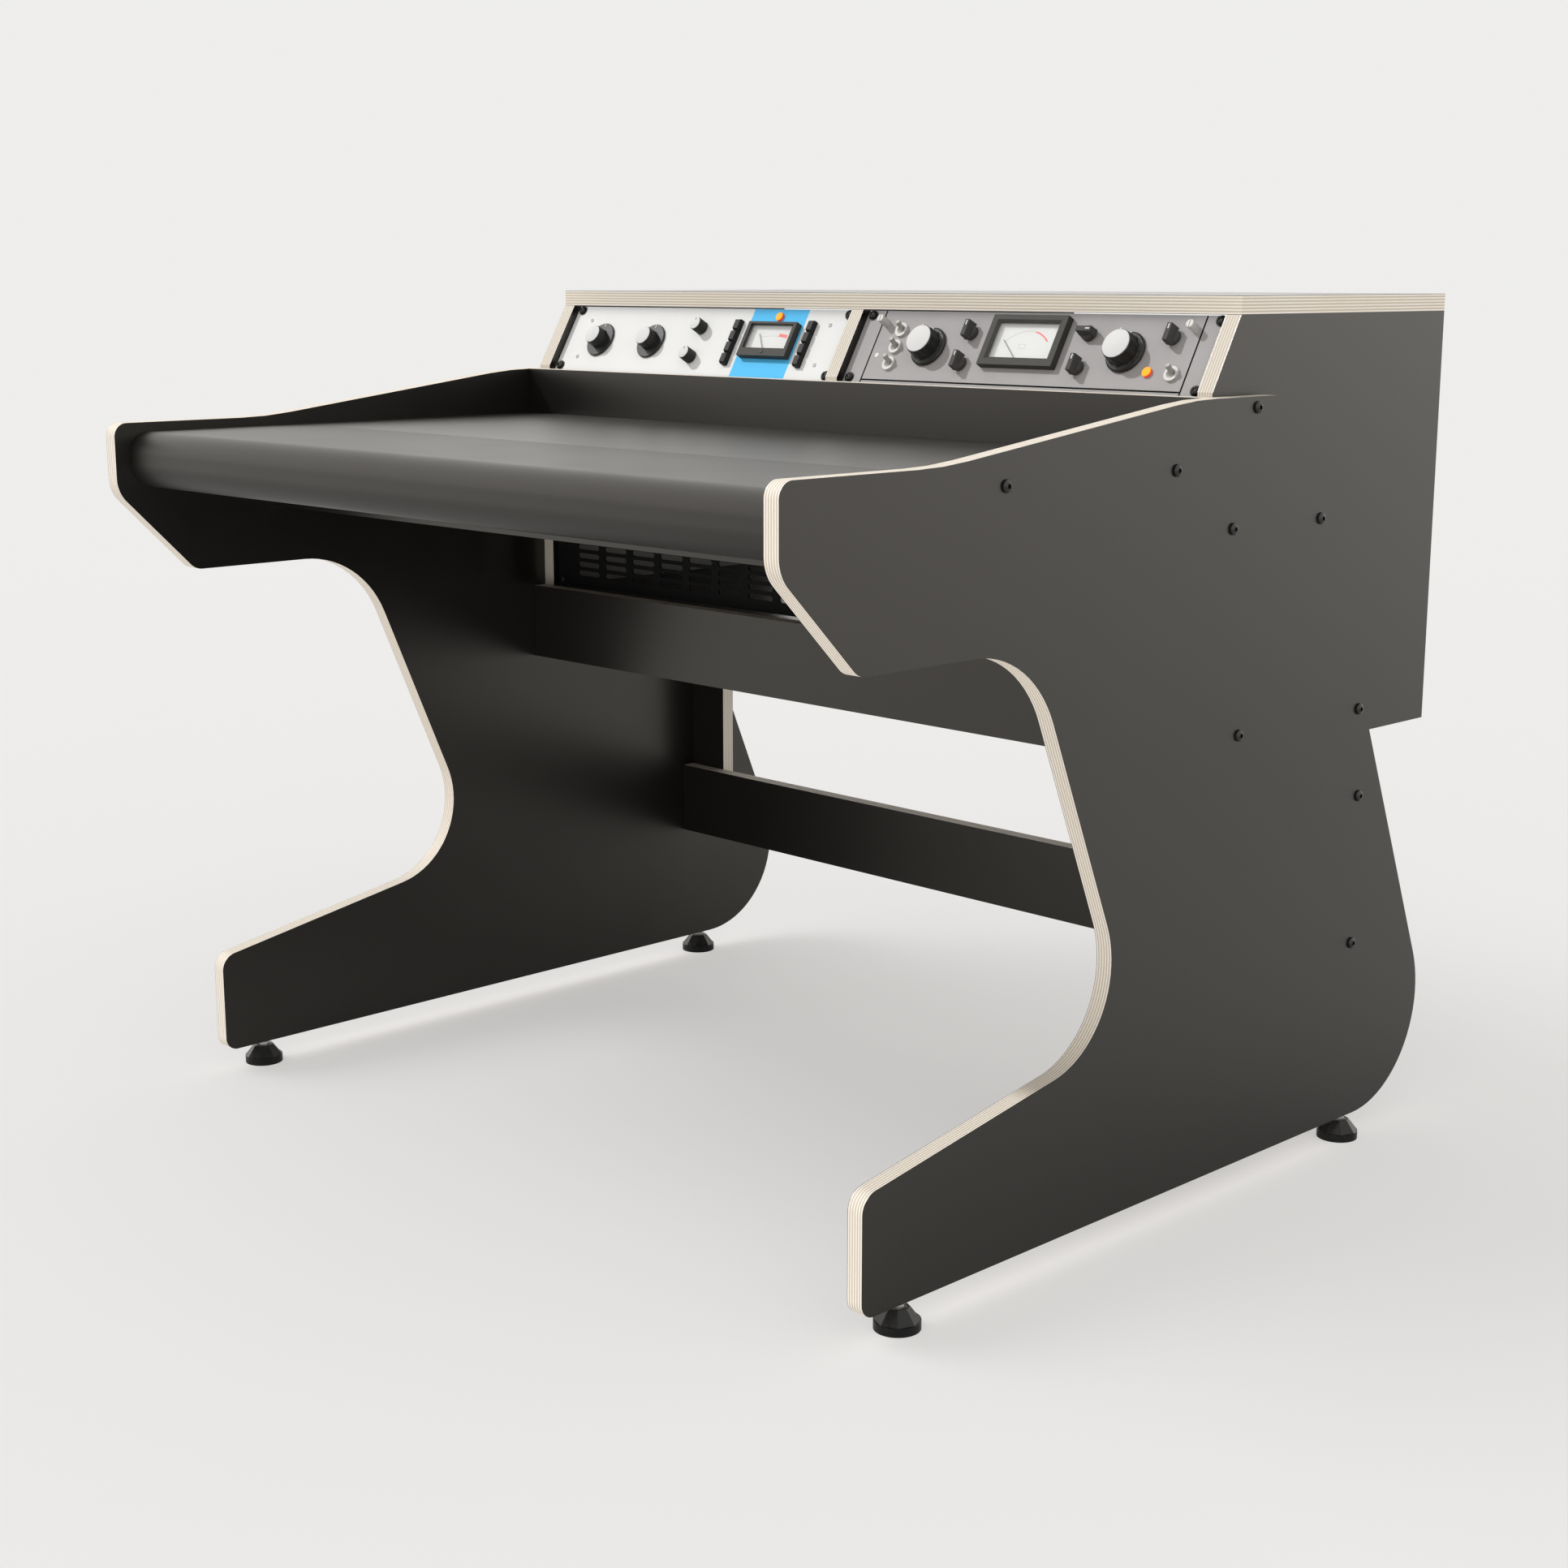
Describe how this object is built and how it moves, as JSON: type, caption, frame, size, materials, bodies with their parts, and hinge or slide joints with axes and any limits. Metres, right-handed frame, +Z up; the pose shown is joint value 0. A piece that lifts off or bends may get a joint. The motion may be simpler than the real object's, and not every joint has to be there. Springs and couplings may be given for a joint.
{
  "type": "studio desk",
  "caption": "Studio desk with cut plywood side panels, a wide desktop with a rounded armrest, and a cabinet with tilted rack units above vented rack bays.",
  "frame": {"origin": "on the floor under the middle of the desk's bounding box", "axes": "+X to the right of someone who sits at the desk, +Y from the armrest to the back, +Z up"},
  "size_m": [1.0835, 0.998, 0.9016],
  "materials": {
    "laminate": "birch plywood under a matte near-black laminate, pale striped edges",
    "armrest_cover": "matte near-black laminate bent round the nose",
    "black_steel": "satin black",
    "zinc_steel": "zinc plated, satin",
    "white_panel": "matte white paint",
    "grey_panel": "matte warm grey paint",
    "black_plastic": "satin black",
    "dial_white": "matte white",
    "meter_glass": "clear",
    "amber_lens": "glossy amber",
    "nickel": "nickel plated, satin",
    "foot_plastic": "satin black base on a bright steel stud",
    "needle_black": "matte black"
  },
  "bodies": {
    "desk": {"left_side_panel": "laminate", "right_side_panel": "laminate", "armrest": "armrest_cover", "desktop_board": "laminate", "apron_rail": "laminate", "fascia_board": "laminate", "upper_crossbar": "laminate", "lower_crossbar": "laminate", "leg_cleats": "laminate", "left_cabinet_side": "laminate", "right_cabinet_side": "laminate", "centre_divider": "laminate", "top_shelf": "laminate", "middle_boards": "laminate", "rack_floor_boards": "laminate", "bottom_boards": "laminate", "side_bolts": "black_steel", "foot_inserts": "zinc_steel", "rack_rails": "black_steel", "rack_screws": "black_steel", "vent_panels": "black_steel", "compressor_faceplate": "white_panel", "compressor_chassis": "zinc_steel", "limiter_faceplate": "grey_panel", "limiter_chassis": "zinc_steel", "meter_frames": "black_plastic", "meter_dials": "dial_white", "meter_glasses": "meter_glass", "pilot_lamps": "amber_lens", "panel_screws": "nickel", "toggle_bushings": "nickel"},
    "foot_front_left": {"foot_front_left": "foot_plastic"},
    "foot_front_right": {"foot_front_right": "foot_plastic"},
    "foot_rear_left": {"foot_rear_left": "foot_plastic"},
    "foot_rear_right": {"foot_rear_right": "foot_plastic"},
    "compressor_needle": {"compressor_needle": "needle_black"},
    "limiter_needle": {"limiter_needle": "needle_black"},
    "input_knob": {"input_knob": "black_plastic"},
    "output_knob": {"output_knob": "black_plastic"},
    "attack_knob": {"attack_knob": "black_plastic"},
    "release_knob": {"release_knob": "black_plastic"},
    "ratio_button_1": {"ratio_button_1": "black_plastic"},
    "ratio_button_2": {"ratio_button_2": "black_plastic"},
    "ratio_button_3": {"ratio_button_3": "black_plastic"},
    "ratio_button_4": {"ratio_button_4": "black_plastic"},
    "meter_button_1": {"meter_button_1": "black_plastic"},
    "meter_button_2": {"meter_button_2": "black_plastic"},
    "meter_button_3": {"meter_button_3": "black_plastic"},
    "meter_button_4": {"meter_button_4": "black_plastic"},
    "gain_knob": {"gain_knob": "black_plastic"},
    "level_knob": {"level_knob": "black_plastic"},
    "mode_selector": {"mode_selector": "black_plastic"},
    "attack_selector": {"attack_selector": "black_plastic"},
    "recovery_selector": {"recovery_selector": "black_plastic"},
    "meter_selector": {"meter_selector": "black_plastic"},
    "link_selector": {"link_selector": "black_plastic"},
    "power_toggle": {"power_toggle": "nickel"},
    "range_toggle": {"range_toggle": "nickel"},
    "bypass_toggle": {"bypass_toggle": "nickel"},
    "standby_toggle": {"standby_toggle": "nickel"}
  },
  "joints": [
    {"name": "foot_front_left_height", "type": "slide", "parent": "desk", "child": "foot_front_left", "axis": [0, 0, -1], "range_m": [0, 0.015]},
    {"name": "foot_front_right_height", "type": "slide", "parent": "desk", "child": "foot_front_right", "axis": [0, 0, -1], "range_m": [0, 0.015]},
    {"name": "foot_rear_left_height", "type": "slide", "parent": "desk", "child": "foot_rear_left", "axis": [0, 0, -1], "range_m": [0, 0.015]},
    {"name": "foot_rear_right_height", "type": "slide", "parent": "desk", "child": "foot_rear_right", "axis": [0, 0, -1], "range_m": [0, 0.015]},
    {"name": "compressor_needle_swing", "type": "hinge", "parent": "desk", "child": "compressor_needle", "pos_m": [-0.128, 0.1111, 0.83198], "axis": [0, 0.866, -0.5], "range_deg": [0, 77], "stiffness_Nm_per_rad": 0.0005, "springref_deg": -11.46},
    {"name": "limiter_needle_swing", "type": "hinge", "parent": "desk", "child": "limiter_needle", "pos_m": [0.251, 0.1107, 0.83129], "axis": [0, 0.866, -0.5], "range_deg": [0, 90], "stiffness_Nm_per_rad": 0.0005, "springref_deg": -11.46},
    {"name": "input_knob_turn", "type": "hinge", "parent": "desk", "child": "input_knob", "pos_m": [-0.426, 0.12002, 0.84242], "axis": [0, -0.866, 0.5], "range_deg": [-150, 150]},
    {"name": "output_knob_turn", "type": "hinge", "parent": "desk", "child": "output_knob", "pos_m": [-0.332, 0.12002, 0.84242], "axis": [0, -0.866, 0.5], "range_deg": [-150, 150]},
    {"name": "attack_knob_turn", "type": "hinge", "parent": "desk", "child": "attack_knob", "pos_m": [-0.251, 0.12952, 0.85887], "axis": [0, -0.866, 0.5], "range_deg": [-150, 150]},
    {"name": "release_knob_turn", "type": "hinge", "parent": "desk", "child": "release_knob", "pos_m": [-0.251, 0.11052, 0.82596], "axis": [0, -0.866, 0.5], "range_deg": [-150, 150]},
    {"name": "ratio_button_1_push", "type": "slide", "parent": "desk", "child": "ratio_button_1", "axis": [0, 0.866, -0.5], "range_m": [0, 0.003], "stiffness_N_per_m": 200, "springref_m": -0.002},
    {"name": "ratio_button_2_push", "type": "slide", "parent": "desk", "child": "ratio_button_2", "axis": [0, 0.866, -0.5], "range_m": [0, 0.003], "stiffness_N_per_m": 200, "springref_m": -0.002},
    {"name": "ratio_button_3_push", "type": "slide", "parent": "desk", "child": "ratio_button_3", "axis": [0, 0.866, -0.5], "range_m": [0, 0.003], "stiffness_N_per_m": 200, "springref_m": -0.002},
    {"name": "ratio_button_4_push", "type": "slide", "parent": "desk", "child": "ratio_button_4", "axis": [0, 0.866, -0.5], "range_m": [0, 0.003], "stiffness_N_per_m": 200, "springref_m": -0.002},
    {"name": "meter_button_1_push", "type": "slide", "parent": "desk", "child": "meter_button_1", "axis": [0, 0.866, -0.5], "range_m": [0, 0.003], "stiffness_N_per_m": 200, "springref_m": -0.002},
    {"name": "meter_button_2_push", "type": "slide", "parent": "desk", "child": "meter_button_2", "axis": [0, 0.866, -0.5], "range_m": [0, 0.003], "stiffness_N_per_m": 200, "springref_m": -0.002},
    {"name": "meter_button_3_push", "type": "slide", "parent": "desk", "child": "meter_button_3", "axis": [0, 0.866, -0.5], "range_m": [0, 0.003], "stiffness_N_per_m": 200, "springref_m": -0.002},
    {"name": "meter_button_4_push", "type": "slide", "parent": "desk", "child": "meter_button_4", "axis": [0, 0.866, -0.5], "range_m": [0, 0.003], "stiffness_N_per_m": 200, "springref_m": -0.002},
    {"name": "gain_knob_turn", "type": "hinge", "parent": "desk", "child": "gain_knob", "pos_m": [0.1185, 0.12142, 0.84484], "axis": [0, -0.866, 0.5], "range_deg": [-150, 150]},
    {"name": "level_knob_turn", "type": "hinge", "parent": "desk", "child": "level_knob", "pos_m": [0.3835, 0.12142, 0.84484], "axis": [0, -0.866, 0.5], "range_deg": [-150, 150]},
    {"name": "mode_selector_turn", "type": "hinge", "parent": "desk", "child": "mode_selector", "pos_m": [0.172, 0.13012, 0.85991], "axis": [0, -0.866, 0.5], "range_deg": [-150, 150]},
    {"name": "attack_selector_turn", "type": "hinge", "parent": "desk", "child": "attack_selector", "pos_m": [0.172, 0.11202, 0.82856], "axis": [0, -0.866, 0.5], "range_deg": [-150, 150]},
    {"name": "recovery_selector_turn", "type": "hinge", "parent": "desk", "child": "recovery_selector", "pos_m": [0.3295, 0.13102, 0.86147], "axis": [0, -0.866, 0.5], "range_deg": [-60, 240]},
    {"name": "meter_selector_turn", "type": "hinge", "parent": "desk", "child": "meter_selector", "pos_m": [0.3295, 0.11202, 0.82856], "axis": [0, -0.866, 0.5], "range_deg": [-150, 150]},
    {"name": "link_selector_turn", "type": "hinge", "parent": "desk", "child": "link_selector", "pos_m": [0.435, 0.13012, 0.85991], "axis": [0, -0.866, 0.5], "range_deg": [-150, 150]},
    {"name": "power_toggle_flip", "type": "hinge", "parent": "desk", "child": "power_toggle", "pos_m": [0.07, 0.1329, 0.86073], "axis": [1, 0, 0], "range_deg": [0, 36]},
    {"name": "range_toggle_flip", "type": "hinge", "parent": "desk", "child": "range_toggle", "pos_m": [0.07, 0.12275, 0.84315], "axis": [1, 0, 0], "range_deg": [0, 36]},
    {"name": "bypass_toggle_flip", "type": "hinge", "parent": "desk", "child": "bypass_toggle", "pos_m": [0.07, 0.1126, 0.82557], "axis": [1, 0, 0], "range_deg": [0, 36]},
    {"name": "standby_toggle_flip", "type": "hinge", "parent": "desk", "child": "standby_toggle", "pos_m": [0.4485, 0.11225, 0.82496], "axis": [1, 0, 0], "range_deg": [0, 36]}
  ]
}
